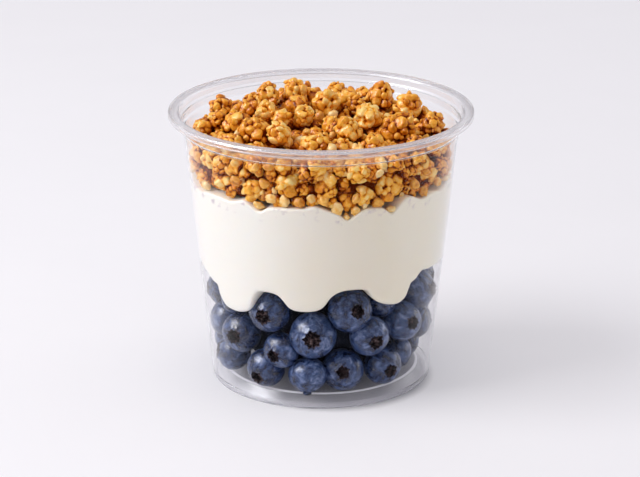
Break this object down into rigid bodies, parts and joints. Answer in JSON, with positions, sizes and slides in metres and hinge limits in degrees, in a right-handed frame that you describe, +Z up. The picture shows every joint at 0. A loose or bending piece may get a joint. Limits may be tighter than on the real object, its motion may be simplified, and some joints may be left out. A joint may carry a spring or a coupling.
{
  "type": "yogurt parfait",
  "caption": "Clear round cup with a turned-down rim, filled with layers of blueberries, plain yogurt and clustered granola heaped to the rim.",
  "frame": {"origin": "middle of the cup's foot, on the surface it stands on", "axes": "+Z up along the cup's axis; -Y faces the viewer"},
  "size_m": [0.117, 0.117, 0.1082],
  "materials": {
    "cup": "clear and glossy",
    "blueberry_layer": "dark blue skin with a dull waxy bloom",
    "yogurt_layer": "smooth warm white, wet",
    "granola_topping": "baked honey-brown clusters with a slight glaze"
  },
  "bodies": {
    "root": {"cup": "cup", "blueberry_layer": "blueberry_layer", "yogurt_layer": "yogurt_layer", "granola_topping": "granola_topping"}
  },
  "joints": []
}
